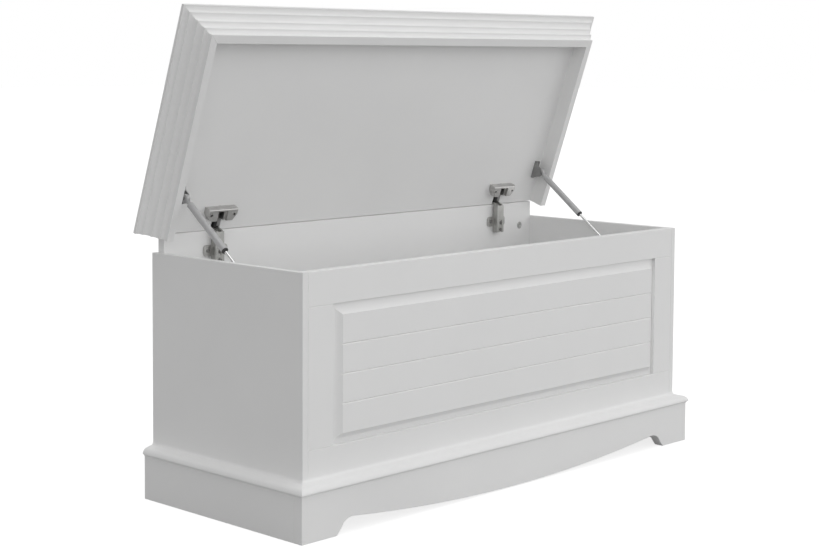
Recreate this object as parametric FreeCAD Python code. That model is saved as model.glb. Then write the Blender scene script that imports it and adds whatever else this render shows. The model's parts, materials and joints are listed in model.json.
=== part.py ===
import FreeCAD, Part
import math
import os

# Painted storage chest with a raised-panel front, a shaped plinth and a crown-moulded lid.
# Millimetres, +Z up, front towards -Y. The lid stands open, held by two gas struts.
# Pieces are drawn with x centred, y = 0 on the body's front face and z = 0 on the floor.
# The lid and what it carries are drawn closed and then turned open about the hinge axis.
# save() moves every piece so that the origin is the middle of the chest's footprint.

V = FreeCAD.Vector
os.makedirs("parts", exist_ok=True)

# Whole chest
body_width = 1016.0
body_depth = 378.0
body_height = 427.0
lid_open_degrees = 71.0

# Workshop allowances
overrun = 5.0
direction_tolerance = 1e-6
place_tolerance = 1e-4
press_gap = 0.02
running_gap = 0.05
bore_gap = 0.1
seam_depth = 0.7
edge_round = 1.0
arris_round = 0.6

# Boards of the body
side_thickness = 12.0
back_thickness = 15.0
back_inset = 2.0
front_thickness = 18.0
bottom_thickness = 12.0
bottom_top = 91.5

# Front frame and raised panel
top_rail_height = 56.0
bottom_rail_top = 142.0
bottom_rail_base = 60.0
stile_width = 55.0
groove_front = 7.0
groove_width = 6.0
groove_depth = 8.0
tongue_depth = 7.0
panel_gap = 0.4
panel_back_recess = 2.0
bevel_width = 17.5
field_proud = 4.0
field_step = 0.3
bevel_shares = ((0.0, 0.0), (0.2, 0.04), (0.45, 0.14), (0.65, 0.34), (0.85, 0.7), (1.0, 1.0))
board_count = 4
v_groove_width = 3.2
v_groove_depth = 1.7

# Base moulding and plinth
plinth_height = 75.3
plinth_overhang = 19.0
moulding_overhang = 23.0
moulding_height = 22.2
moulding_shares = (
    (0.0, 0.0, 0.0),
    (0.84, 0.0, 0.08),
    (1.0, 0.19, -0.16),
    (0.61, 0.65, 0.0),
    (0.28, 0.74, 0.2),
    (0.0, 1.0, 0.0),
)
foot_width = 77.0
cove_run = 37.0
cove_rise = 26.0
cove_shares = ((0.0, 0.0), (0.2, 0.3), (0.43, 0.73), (0.72, 0.95), (1.0, 1.0))
bow_clearance = 2.5
corner_block_size = 30.0
corner_block_lift = 28.0
cleat_size = 18.0

# Lid
lid_gap = 1.5
lid_height = 46.5
lid_board_thickness = 16.0
rim_width = 15.0
rim_side_play = 1.0
crown_out = 38.0
lid_back_inset = 10.56
lid_front_shift = 2.6
crown_shares = (
    (0.0, 0.0, 0.0),
    (0.0, 0.17, 0.14),
    (0.2, 0.27, 0.0),
    (0.22, 0.36, 0.16),
    (0.42, 0.5, 0.0),
    (0.44, 0.58, 0.16),
    (0.72, 0.73, 0.0),
    (0.74, 0.78, 0.14),
    (1.0, 0.86, 0.0),
    (1.0, 0.975, -0.2),
    (0.97, 1.0, 0.0),
    (0.0, 1.0, 0.0),
)

# Hinge axis
axis_above_underside = 3.99
axis_from_lid_back = 2.54
back_running_gap = 0.3

# Concealed hinges
hinge_from_side = 114.0
arm_width = 20.0
arm_wall = 1.5
arm_depth = 12.0
arm_height = 55.5
arm_below_back_top = 1.5
plate_thickness = 3.0
wing_width = 54.0
wing_height = 20.0
wing_below_back_top = 25.0
wing_corner = 6.0
rail_below_back_top = 20.5
rail_height = 36.0
rail_side_gap = 0.3
nose_width = 15.6
nose_radius = 4.0
nose_gap = 0.35
nose_root_height = 12.0
nose_toe_rise = 1.0
seat_lip_below_axis = 0.4
seat_back_behind_axis = 0.8
hinge_pin_radius = 2.0
hinge_pin_length = 20.0
link_width = 7.0
link_side_gap = 0.3
link_eye_radius = 3.4
link_root_radius = 2.6
cup_radius = 13.0
cup_wall = 1.5
cup_depth = 11.5
cup_floor = 1.5
cup_centre_from_axis = 30.5
cup_mouth_width = 12.4
cup_mouth_front = 7.0
cup_recess_width = 22.0
cup_recess_depth = 5.0
cup_rivet_from_axis = 32.5
cup_rivet_above_underside = 1.8
cup_rivet_radius = 1.6
flange_width = 66.0
flange_depth = 23.6
flange_thickness = 14.0
flange_back_from_axis = 19.3
flange_cut_x = 9.0
flange_cut_y = 12.0
flange_bevel = 3.0
notch_side_gap = 0.3
notch_top_gap = 0.5

# Gas struts
strut_from_side = 14.6
strut_head_from_axis = 70.7
strut_head_drop = 18.5
strut_foot_from_axis = 237.26
strut_foot_below_top = 56.24
tube_radius = 6.0
tube_wall = 1.0
tube_end_wall = 3.0
tube_start = 16.0
tube_length = 114.0
seal_length = 2.4
seal_plug_length = 6.0
tube_play = 0.02
rod_radius = 2.5
piston_gap = 0.35
piston_length = 8.0
piston_to_seal = 4.0
eye_radius = 5.8
eye_thickness = 6.0
eye_neck_radius = 3.4
foot_neck_length = 12.0
strut_pin_radius = 2.5
pin_head_radius = 3.8
pin_head_thickness = 1.2
eye_face_gap = 0.3
pin_end_gap = 0.3

# Strut brackets
ear_thickness = 2.0
ear_length = 37.0
ear_front_from_head = 18.6
ear_height = 25.0
ear_shares = (
    (0.0, 0.0),
    (1.0, 0.0),
    (1.0, 0.16),
    (0.8, 0.6),
    (0.72, 0.9),
    (0.58, 1.0),
    (0.42, 0.98),
    (0.28, 0.8),
    (0.2, 0.4),
    (0.0, 0.3),
)
ear_round = 2.2
foot_flange_width = 15.0
foot_flange_side_trim = 1.0
lower_plate_thickness = 2.0
lower_plate_width = 24.0
lower_plate_height = 46.0
lower_plate_corner = 5.0

# Fasteners
screw_head_radius = 3.4
screw_head_height = 1.6
screw_shank_radius = 1.8
screw_length = 9.0
cup_screw_head_radius = 2.2
cup_screw_recess = 8.0
cup_screw_length = 14.0
wing_screw_from_centre = 18.0
arm_screw_from_top = 35.5
arm_screw_spacing = 14.5
cup_screw_from_centre = 26.0
bracket_screw_spacing = 27.0
lower_screw_spacing = 30.0
cam_radius = 7.4
cam_depth = 12.0
cam_from_side = 35.0
cam_upper_below_top = 18.0
cam_lower_above_bottom = 58.5
cam_bolt_radius = 3.0
cam_bolt_seat = 9.0
dowel_radius = 4.0
dowel_length = 30.0
dowel_seat_in_side = 8.0
dowel_from_top = 8.0
dowel_from_base = 12.0
dowel_pitch = 28.0
dowel_behind_face = 10.5
dowel_gap = 0.05

# Positions that follow from the sizes above
half_body = body_width / 2
half_inner = half_body - side_thickness
back_outer_y = body_depth - back_inset
back_inner_y = back_outer_y - back_thickness
rim_bottom_z = body_height + lid_gap
lid_top_z = rim_bottom_z + lid_height
underside_z = lid_top_z - lid_board_thickness
rim_inner_half = half_inner + rim_side_play
rim_front_inner_y = rim_width - lid_front_shift
lid_back_y = body_depth - lid_back_inset
axis_y = lid_back_y - axis_from_lid_back
axis_z = underside_z + axis_above_underside
heel_radius = math.hypot(axis_from_lid_back, axis_above_underside)
back_top_z = axis_z - heel_radius - back_running_gap
opening_half = half_inner - stile_width
opening_bottom = bottom_rail_top
opening_top = body_height - top_rail_height
hinge_x = half_inner - hinge_from_side
strut_x = half_inner - strut_from_side
open_angle = math.radians(lid_open_degrees)
origin_y = (body_depth - moulding_overhang) / 2


def save(name, shape):
    """Write one piece, moved to the frame whose origin is the middle of the footprint."""
    placed = shape.copy()
    placed.translate(V(0, -origin_y, 0))
    placed.exportStep("parts/" + name + ".step")
    low = placed.BoundBox
    print(name, "solids", len(placed.Solids), "valid", placed.isValid(), "volume", round(placed.Volume, 1),
          "x", round(low.XMin, 2), round(low.XMax, 2), "y", round(low.YMin, 2), round(low.YMax, 2),
          "z", round(low.ZMin, 2), round(low.ZMax, 2))


def opened(shape):
    """Turn a piece of the closed lid to the open pose."""
    turned = shape.copy()
    turned.rotate(V(0, axis_y, axis_z), V(-1, 0, 0), lid_open_degrees)
    return turned


def opened_point(y, z):
    """Where a point of the closed lid is when the lid is open."""
    back = y - axis_y
    up = z - axis_z
    turned_y = axis_y + back * math.cos(open_angle) + up * math.sin(open_angle)
    turned_z = axis_z - back * math.sin(open_angle) + up * math.cos(open_angle)
    return turned_y, turned_z


def mirrored(shape):
    """The same piece on the other side of the chest."""
    return shape.mirror(V(0, 0, 0), V(1, 0, 0))


def block(x0, x1, y0, y1, z0, z1):
    return Part.makeBox(x1 - x0, y1 - y0, z1 - z0, V(x0, y0, z0))


def rod(radius, start, end):
    """A round bar from one point to another."""
    along = end - start
    return Part.makeCylinder(radius, along.Length, start, along)


def rounded(shape, radius, chosen):
    """Round the edges that the test picks out."""
    edges = [edge for edge in shape.Edges if chosen(edge)]
    return shape.makeFillet(radius, edges)


def lies_along(edge, axis):
    """True for a straight edge that runs along X, Y or Z (axis 0, 1 or 2)."""
    if edge.Curve.TypeId != "Part::GeomLine":
        return False
    direction = edge.tangentAt(edge.FirstParameter)
    return abs(abs(direction[axis]) - 1) < direction_tolerance


def edge_at(edge, axis, value):
    """True if the middle of the edge has this coordinate."""
    middle = edge.CenterOfMass
    return abs(middle[axis] - value) < place_tolerance


def outline_face(points, place):
    """A face from (a, b, bulge) points: bulge is an arc's height as a share of its chord."""
    edges = []
    for index, (a0, b0, bulge) in enumerate(points):
        a1, b1, _ = points[(index + 1) % len(points)]
        start = place(a0, b0)
        end = place(a1, b1)
        if bulge == 0:
            edges.append(Part.LineSegment(start, end).toShape())
        else:
            middle_a = (a0 + a1) / 2 - (b1 - b0) * bulge
            middle_b = (b0 + b1) / 2 + (a1 - a0) * bulge
            edges.append(Part.Arc(start, place(middle_a, middle_b), end).toShape())
    return Part.Face(Part.Wire(edges))


def scaled(shares, width, height):
    """Outline points from shares of a width and a height."""
    return [(share[0] * width, share[1] * height, share[2]) for share in shares]


def plain(points):
    """Straight-sided outline points."""
    return [(a, b, 0) for a, b in points]


def plate_along_x(points, x0, x1):
    """A y-z outline drawn out along X."""
    face = outline_face(points, lambda y, z: V(x0, y, z))
    return face.extrude(V(x1 - x0, 0, 0))


def plan_block(points, z0, z1):
    """An x-y outline drawn out along Z."""
    face = outline_face(plain(points), lambda x, y: V(x, y, z0))
    return face.extrude(V(0, 0, z1 - z0))


def mitred_lengths(profile, inner_half, inner_front, base_z, reach, height, back_y):
    """Front and right lengths of a moulding that meet in a mitre at the front corner."""
    outer_half = inner_half + reach
    outer_front = inner_front - reach
    front_face = outline_face(profile, lambda out, up: V(-outer_half, inner_front - out, base_z + up))
    front = front_face.extrude(V(2 * outer_half, 0, 0))
    front_plan = plan_block([(-inner_half, inner_front), (-outer_half, outer_front),
                             (outer_half, outer_front), (inner_half, inner_front)],
                            base_z - overrun, base_z + height + overrun)
    side_face = outline_face(profile, lambda out, up: V(inner_half + out, outer_front, base_z + up))
    side = side_face.extrude(V(0, back_y - outer_front, 0))
    side_plan = plan_block([(inner_half, inner_front), (outer_half, outer_front),
                            (outer_half, back_y), (inner_half, back_y)],
                           base_z - overrun, base_z + height + overrun)
    return front.common(front_plan), side.common(side_plan)


def seam_along_x(x0, x1, z):
    """Cutter for the fine V where two front pieces meet on a level line."""
    points = plain([(-overrun, z - seam_depth - overrun), (seam_depth, z),
                    (-overrun, z + seam_depth + overrun)])
    return plate_along_x(points, x0, x1)


def seam_along_z(x, z0, z1):
    """Cutter for the fine V where two front pieces meet on an upright line."""
    return plan_block([(x - seam_depth - overrun, -overrun), (x, seam_depth),
                       (x + seam_depth + overrun, -overrun)], z0, z1)


def front_seams():
    """Every fine V between the pieces of the front."""
    cutters = []
    for sign in (-1, 1):
        inner = sign * opening_half
        outer = sign * half_inner
        low = min(inner, outer)
        high = max(inner, outer)
        cutters.append(seam_along_x(low, high, opening_top))
        cutters.append(seam_along_x(low, high, opening_bottom))
        cutters.append(seam_along_z(outer, bottom_rail_base, body_height))
    return cutters


def bored(shape, cutters):
    for cutter in cutters:
        shape = shape.cut(cutter)
    return shape


# Wooden dowels, cam locks and their bores

def dowel_lines():
    """Start, end and owners' side of each dowel: upright in the stiles, level into the sides."""
    lines = []
    stile_middle = opening_half + groove_depth + (stile_width - groove_depth) / 2
    for sign in (-1, 1):
        x = sign * stile_middle
        for joint_z in (opening_bottom, opening_top):
            lines.append((V(x, dowel_behind_face, joint_z - dowel_length / 2),
                          V(x, dowel_behind_face, joint_z + dowel_length / 2)))
        inner_end = sign * (half_inner + dowel_seat_in_side - dowel_length)
        outer_end = sign * (half_inner + dowel_seat_in_side)
        upper = body_height - dowel_from_top
        lower = bottom_rail_base + dowel_from_base
        for z in (upper, lower, lower + dowel_pitch):
            lines.append((V(inner_end, dowel_behind_face, z), V(outer_end, dowel_behind_face, z)))
    return lines


def dowel_bores():
    bores = []
    for start, end in dowel_lines():
        stretch = (end - start).normalize() * dowel_gap
        bores.append(rod(dowel_radius + dowel_gap, start - stretch, end + stretch))
    return bores


def dowels():
    return Part.makeCompound([rod(dowel_radius, start, end) for start, end in dowel_lines()])


def cam_heights():
    return (body_height - cam_upper_below_top, bottom_top + cam_lower_above_bottom)


def cam_bores():
    cutters = []
    bolt_y = back_inner_y + back_thickness / 2
    for sign in (-1, 1):
        cam_x = sign * (half_inner - cam_from_side)
        seat_x = sign * (half_inner + cam_bolt_seat + bore_gap)
        for z in cam_heights():
            cutters.append(rod(cam_radius + bore_gap, V(cam_x, back_inner_y - overrun, z),
                               V(cam_x, back_inner_y + cam_depth + bore_gap, z)))
            cutters.append(rod(cam_bolt_radius + bore_gap, V(cam_x, bolt_y, z), V(seat_x, bolt_y, z)))
    return cutters


def cam_locks():
    cams = []
    for sign in (-1, 1):
        x = sign * (half_inner - cam_from_side)
        for z in cam_heights():
            end_y = back_inner_y + cam_depth + bore_gap
            cams.append(rod(cam_radius, V(x, back_inner_y, z), V(x, end_y, z)))
    return Part.makeCompound(cams)


def cam_bolts():
    bolts = []
    y = back_inner_y + back_thickness / 2
    for sign in (-1, 1):
        start_x = sign * (half_inner - cam_from_side + cam_radius + bore_gap)
        end_x = sign * (half_inner + cam_bolt_seat + bore_gap)
        for z in cam_heights():
            bolts.append(rod(cam_bolt_radius, V(start_x, y, z), V(end_x, y, z)))
    return Part.makeCompound(bolts)


# Screws

def screw(seat, direction, head_radius=screw_head_radius, length=screw_length):
    """A screw whose plain head sits at seat and whose shank runs along direction."""
    head = rod(head_radius, seat - direction * screw_head_height, seat)
    return head.fuse(rod(screw_shank_radius, seat, seat + direction * length))


def screw_bore(head_base, direction):
    return rod(screw_shank_radius + bore_gap, head_base - direction * overrun * 2,
               head_base + direction * (screw_length + bore_gap))


def lower_screw_places(sign):
    """Head seats on the lower strut bracket."""
    foot_y = axis_y - strut_foot_from_axis
    foot_z = body_height - strut_foot_below_top
    x = sign * (half_inner - lower_plate_thickness)
    return [V(x, foot_y, foot_z + step * lower_screw_spacing / 2) for step in (-1, 1)]


def plate_screw_places(sign):
    """Head seats on the wings of a hinge mounting plate."""
    z = back_top_z - wing_below_back_top - wing_height / 2
    y = back_inner_y - plate_thickness
    return [V(sign * hinge_x + step * wing_screw_from_centre, y, z) for step in (-1, 1)]


def arm_screw_places(sign):
    """Head seats on the web of a hinge arm."""
    y = back_inner_y - plate_thickness - arm_depth
    top = back_top_z - arm_below_back_top - arm_screw_from_top
    return [V(sign * hinge_x, y, top - step * arm_screw_spacing) for step in (0, 1)]


def cup_screw_places(sign):
    """Head seats deep in the flange of a hinge cup."""
    y = axis_y - flange_back_from_axis - flange_depth / 2
    z = underside_z - flange_thickness + cup_screw_recess
    return [V(sign * hinge_x + step * cup_screw_from_centre, y, z) for step in (-1, 1)]


def cup_screw_bores(sign):
    """Shank bores and head recesses of a cup's screws."""
    up = V(0, 0, 1)
    bores = []
    for seat in cup_screw_places(sign):
        tip = seat + up * (cup_screw_length + bore_gap)
        bores.append(rod(screw_shank_radius + bore_gap, seat - up * overrun, tip))
        bores.append(rod(cup_screw_head_radius + bore_gap, seat - up * (cup_screw_recess + overrun), seat))
    return bores


def bracket_screw_places(sign):
    """Head seats on the foot of an upper strut bracket."""
    middle_y = axis_y - strut_head_from_axis - ear_front_from_head + ear_length / 2
    x = sign * (ear_inner_x() + ear_thickness + (foot_flange_width - ear_thickness) / 2)
    z = underside_z - ear_thickness
    return [V(x, middle_y + step * bracket_screw_spacing / 2, z) for step in (-1, 1)]


def screws(places, direction):
    return Part.makeCompound([screw(place, direction) for place in places])


def cup_screws():
    return Part.makeCompound([screw(seat, V(0, 0, 1), cup_screw_head_radius, cup_screw_length)
                              for seat in both_sides(cup_screw_places)])


def both_sides(places):
    return places(-1) + places(1)


# Body

def side_panel():
    """The right side panel, full height; the left one is its mirror image."""
    panel = block(half_inner, half_body, 0, body_depth, 0, body_height)
    panel = rounded(panel, edge_round, lambda edge: edge_at(edge, 2, body_height) and lies_along(edge, 1)
                    or edge_at(edge, 1, 0) and lies_along(edge, 2) and edge_at(edge, 0, half_body))
    cutters = front_seams() + dowel_bores() + cam_bores()
    cutters += [screw_bore(place, V(1, 0, 0)) for place in lower_screw_places(1)]
    return bored(panel, cutters)


def back_panel():
    panel = block(-half_inner, half_inner, back_inner_y, back_outer_y, bottom_rail_base, back_top_z)
    panel = rounded(panel, edge_round, lambda edge: edge_at(edge, 2, back_top_z) and lies_along(edge, 0))
    cutters = cam_bores()
    cutters += [screw_bore(place, V(0, 1, 0)) for place in both_sides(plate_screw_places)]
    return bored(panel, cutters)


def rail_groove(low, high):
    """Cutter for the panel's groove along a rail."""
    reach = opening_half + groove_depth
    return block(-reach, reach, groove_front, groove_front + groove_width, low, high)


def front_top_rail():
    rail = block(-half_inner, half_inner, 0, front_thickness, opening_top, body_height)
    rail = rounded(rail, edge_round, lambda edge: edge_at(edge, 2, body_height) and lies_along(edge, 0))
    groove = rail_groove(opening_top, opening_top + groove_depth)
    return bored(rail, [groove] + front_seams() + dowel_bores())


def front_bottom_rail():
    rail = block(-half_inner, half_inner, 0, front_thickness, bottom_rail_base, opening_bottom)
    groove = rail_groove(opening_bottom - groove_depth, opening_bottom)
    return bored(rail, [groove] + front_seams() + dowel_bores())


def front_stile():
    """The right stile; the left one is its mirror image."""
    stile = block(opening_half, half_inner, 0, front_thickness, opening_bottom, opening_top)
    groove = block(opening_half, opening_half + groove_depth, groove_front, groove_front + groove_width,
                   opening_bottom, opening_top)
    return bored(stile, [groove] + front_seams() + dowel_bores())


def rectangle(half_x, y, z0, z1):
    corners = [V(-half_x, y, z0), V(half_x, y, z0), V(half_x, y, z1), V(-half_x, y, z1), V(-half_x, y, z0)]
    return Part.makePolygon(corners)


def front_raised_panel():
    """Tongue all round, coved bevel, and a raised field cut by V-grooves into level boards."""
    tongue = block(-opening_half - tongue_depth, opening_half + tongue_depth,
                   groove_front, groove_front + groove_width,
                   opening_bottom - tongue_depth, opening_top + tongue_depth)
    edge_half = opening_half - panel_gap
    edge_low = opening_bottom + panel_gap
    edge_high = opening_top - panel_gap
    back = block(-edge_half, edge_half, groove_front, front_thickness - panel_back_recess,
                 edge_low, edge_high)
    field_front = -field_proud
    rise = groove_front - field_front - field_step
    wires = [rectangle(edge_half, groove_front + groove_width / 2, edge_low, edge_high)]
    for across, up in bevel_shares:
        inset = across * bevel_width
        wires.append(rectangle(edge_half - inset, groove_front - panel_gap - up * (rise - panel_gap),
                               edge_low + inset, edge_high - inset))
    bevel = Part.makeLoft(wires, True, True)
    field_half = edge_half - bevel_width
    field_low = edge_low + bevel_width
    field_high = edge_high - bevel_width
    field = block(-field_half, field_half, field_front, groove_front, field_low, field_high)
    panel = tongue.fuse(back).fuse(bevel).fuse(field)
    pitch = (field_high - field_low) / board_count
    for number in range(1, board_count):
        z = field_low + number * pitch
        flare = v_groove_width / 2 / v_groove_depth * overrun
        groove = plain([(field_front + v_groove_depth, z),
                        (field_front - overrun, z + v_groove_width / 2 + flare),
                        (field_front - overrun, z - v_groove_width / 2 - flare)])
        panel = panel.cut(plate_along_x(groove, -edge_half, edge_half))
    return panel.removeSplitter()


def bottom_panel():
    return block(-half_inner, half_inner, front_thickness, back_inner_y,
                 bottom_top - bottom_thickness, bottom_top)


def bottom_cleats():
    """Strips under the bottom panel, along the front, the back and both sides."""
    top = bottom_top - bottom_thickness
    base = top - cleat_size
    front = block(-half_inner, half_inner, front_thickness, front_thickness + cleat_size, base, top)
    back = block(-half_inner, half_inner, back_inner_y - cleat_size, back_inner_y, base, top)
    right = block(half_inner - cleat_size, half_inner, front_thickness + cleat_size,
                  back_inner_y - cleat_size, base, top)
    return Part.makeCompound([front, back, right, mirrored(right)])


def apron_outline():
    """Half of the apron's lower edge, from the foot to the middle, as (x, z, bulge) points."""
    foot_end = half_body + plinth_overhang - foot_width
    return [(foot_end - across * cove_run, up * cove_rise) for across, up in cove_shares]


def plinth_front_apron():
    """Full-width board whose lower edge has a cove beside each foot and a long bow between them."""
    half = half_body + plinth_overhang
    y = -plinth_overhang
    cove = [V(x, y, z) for x, z in apron_outline()]
    other = [V(-point.x, y, point.z) for point in reversed(cove)]
    edges = [Part.LineSegment(V(half, y, 0), cove[0]).toShape(),
             Part.Arc(cove[0], cove[1], cove[2]).toShape(),
             Part.Arc(cove[2], cove[3], cove[4]).toShape(),
             Part.Arc(cove[4], V(0, y, bow_clearance), other[0]).toShape(),
             Part.Arc(other[0], other[1], other[2]).toShape(),
             Part.Arc(other[2], other[3], other[4]).toShape(),
             Part.LineSegment(other[4], V(-half, y, 0)).toShape(),
             Part.LineSegment(V(-half, y, 0), V(-half, y, plinth_height)).toShape(),
             Part.LineSegment(V(-half, y, plinth_height), V(half, y, plinth_height)).toShape(),
             Part.LineSegment(V(half, y, plinth_height), V(half, y, 0)).toShape()]
    apron = Part.Face(Part.Wire(edges)).extrude(V(0, plinth_overhang, 0))
    return rounded(apron, edge_round,
                   lambda edge: edge_at(edge, 1, -plinth_overhang) and lies_along(edge, 2))


def plinth_side_board():
    return block(half_body, half_body + plinth_overhang, 0, body_depth, 0, plinth_height)


def plinth_rear_board():
    return block(-half_inner, half_inner, back_inner_y, back_outer_y, 0, bottom_rail_base)


def plinth_corner_blocks():
    """Square blocks in the front corners, behind the feet."""
    right = block(half_inner - corner_block_size, half_inner, 0, corner_block_size,
                  corner_block_lift, bottom_rail_base)
    return Part.makeCompound([right, mirrored(right)])


def base_mouldings():
    profile = scaled(moulding_shares, moulding_overhang, moulding_height)
    return mitred_lengths(profile, half_body, 0, plinth_height, moulding_overhang,
                          moulding_height, body_depth)


# Hinges: parts on the body

def hinge_mounting_plate():
    """Wings screwed to the back panel and the rail that the arm slides over."""
    centre = hinge_x
    wing_top = back_top_z - wing_below_back_top
    rail_top = back_top_z - rail_below_back_top
    plate_front = back_inner_y - plate_thickness
    wings = block(centre - wing_width / 2, centre + wing_width / 2, plate_front, back_inner_y,
                  wing_top - wing_height, wing_top)
    wings = rounded(wings, wing_corner, lambda edge: lies_along(edge, 1))
    rail_half = arm_width / 2 - arm_wall - rail_side_gap
    rail = block(centre - rail_half, centre + rail_half, plate_front - arm_depth + arm_wall,
                 back_inner_y, rail_top - rail_height, rail_top)
    plate = wings.fuse(rail)
    cutters = [screw_bore(place, V(0, 1, 0)) for place in plate_screw_places(1) + arm_screw_places(1)]
    return bored(plate, cutters)


def hinge_arm():
    """Channel over the mounting plate's rail, with a forked nose whose seats hold the pin."""
    centre = hinge_x
    front = back_inner_y - plate_thickness - arm_depth
    top = back_top_z - arm_below_back_top
    base = top - arm_height
    half = arm_width / 2
    channel = block(centre - half, centre + half, front, front + arm_depth, base, top)
    channel = rounded(channel, arm_wall, lambda edge: edge_at(edge, 1, front))
    inside = block(centre - half + arm_wall, centre + half - arm_wall, front + arm_wall,
                   front + arm_depth + overrun, base - overrun, top + overrun)
    channel = channel.cut(inside)
    toe_y = back_inner_y - nose_gap
    toe_z = back_top_z + nose_gap
    turn = nose_radius / math.sqrt(2)
    start = V(0, axis_y - turn, axis_z + turn)
    inner_front = front + arm_wall
    knee_y = front + arm_depth - nose_gap
    points = [V(0, start.y, start.z), V(0, inner_front, top + nose_toe_rise),
              V(0, inner_front, top - nose_root_height), V(0, knee_y, top - nose_root_height),
              V(0, knee_y, top), V(0, toe_y, toe_z), V(0, axis_y, axis_z - nose_radius)]
    edges = [Part.LineSegment(start, end).toShape() for start, end in zip(points, points[1:])]
    edges.append(Part.Arc(points[-1], V(0, axis_y + nose_radius, axis_z), points[0]).toShape())
    nose = Part.Face(Part.Wire(edges)).extrude(V(nose_width, 0, 0))
    nose.translate(V(centre - nose_width / 2, 0, 0))
    slot_half = link_width / 2 + link_side_gap
    slot = block(centre - slot_half, centre + slot_half, front - overrun, axis_y + overrun * 2,
                 top, axis_z + overrun * 2)
    seat_front = block(centre - half, centre + half, front - overrun, axis_y + seat_back_behind_axis,
                       axis_z - seat_lip_below_axis, axis_z + overrun)
    arm = channel.fuse(nose).cut(slot).cut(seat_front)
    pin_bore = rod(hinge_pin_radius + press_gap, V(centre - half, axis_y, axis_z),
                   V(centre + half, axis_y, axis_z))
    cutters = [screw_bore(place, V(0, 1, 0)) for place in arm_screw_places(1)]
    return bored(arm, [pin_bore] + cutters)


def hinge_pin():
    half = hinge_pin_length / 2
    return rod(hinge_pin_radius, V(hinge_x - half, axis_y, axis_z), V(hinge_x + half, axis_y, axis_z))


# Hinges: parts on the lid, drawn closed

def hinge_link():
    """Flat link between the nose's cheeks, with one eye on the pin and one on the cup's rivet."""
    half = link_width / 2
    rivet_y = axis_y - cup_rivet_from_axis
    rivet_z = underside_z + cup_rivet_above_underside
    back = V(0, axis_y, axis_z)
    front = V(0, rivet_y, rivet_z)
    along = (back - front)
    length = along.Length
    slope = math.atan2(along.z, along.y)
    lean = math.asin((link_eye_radius - link_root_radius) / length)

    def on_circle(centre, radius, angle):
        return V(0, centre.y + radius * math.cos(angle), centre.z + radius * math.sin(angle))

    up = slope + math.pi / 2 + lean
    down = slope - math.pi / 2 - lean
    eye_up, eye_end, eye_down = (on_circle(back, link_eye_radius, angle) for angle in (up, slope, down))
    root_up, root_end, root_down = (on_circle(front, link_root_radius, angle)
                                    for angle in (up, slope + math.pi, down))
    edges = [Part.LineSegment(root_up, eye_up).toShape(),
             Part.Arc(eye_up, eye_end, eye_down).toShape(),
             Part.LineSegment(eye_down, root_down).toShape(),
             Part.Arc(root_down, root_end, root_up).toShape()]
    link = Part.Face(Part.Wire(edges)).extrude(V(2 * half, 0, 0))
    link.translate(V(hinge_x - half, 0, 0))
    pin_bore = rod(hinge_pin_radius + running_gap, V(hinge_x - half - overrun, axis_y, axis_z),
                   V(hinge_x + half + overrun, axis_y, axis_z))
    rivet_bore = rod(cup_rivet_radius + press_gap, V(hinge_x - half - overrun, rivet_y, rivet_z),
                     V(hinge_x + half + overrun, rivet_y, rivet_z))
    return bored(link, [pin_bore, rivet_bore])


def hinge_cup_rivets():
    """Cross rivets that hold the links in the cups, wall to wall."""
    reach = cup_radius - cup_wall
    y = axis_y - cup_rivet_from_axis
    z = underside_z + cup_rivet_above_underside
    offset = cup_rivet_from_axis - cup_centre_from_axis
    half = math.sqrt(reach ** 2 - (abs(offset) + cup_rivet_radius) ** 2)
    rivets = [rod(cup_rivet_radius, V(side * hinge_x - half, y, z), V(side * hinge_x + half, y, z))
              for side in (-1, 1)]
    return opened(Part.makeCompound(rivets))


def hinge_cup():
    """Round cup let into the lid, with a thick flange whose rear corners are cut off."""
    centre_y = axis_y - cup_centre_from_axis
    floor_z = underside_z + cup_depth
    back_y = axis_y - flange_back_from_axis
    front_y = back_y - flange_depth
    half = flange_width / 2
    base_z = underside_z - flange_thickness
    outline = [(hinge_x - half, front_y), (hinge_x + half, front_y),
               (hinge_x + half, back_y - flange_cut_y),
               (hinge_x + half - flange_cut_x, back_y), (hinge_x - half + flange_cut_x, back_y),
               (hinge_x - half, back_y - flange_cut_y)]
    flange = plan_block(outline, base_z, underside_z)
    flange = flange.makeChamfer(flange_bevel, [edge for edge in flange.Edges
                                               if edge_at(edge, 1, front_y) and edge_at(edge, 2, base_z)])
    flange = rounded(flange, arris_round, lambda edge: edge_at(edge, 2, base_z)
                     and not edge_at(edge, 1, front_y + flange_bevel))
    boss = rod(cup_radius, V(hinge_x, centre_y, underside_z), V(hinge_x, centre_y, floor_z))
    hollow = rod(cup_radius - cup_wall, V(hinge_x, centre_y, underside_z),
                 V(hinge_x, centre_y, floor_z - cup_floor))
    mouth_half = cup_mouth_width / 2
    mouth = block(hinge_x - mouth_half, hinge_x + mouth_half, centre_y - cup_mouth_front, back_y + overrun,
                  base_z - overrun, floor_z - cup_floor)
    recess_half = cup_recess_width / 2
    recess = block(hinge_x - recess_half, hinge_x + recess_half, centre_y - cup_mouth_front,
                   back_y + overrun, base_z - overrun, base_z + cup_recess_depth)
    cup = flange.fuse(boss).cut(hollow).cut(mouth).cut(recess)
    return bored(cup, cup_screw_bores(1))


# Lid, drawn closed

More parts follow.
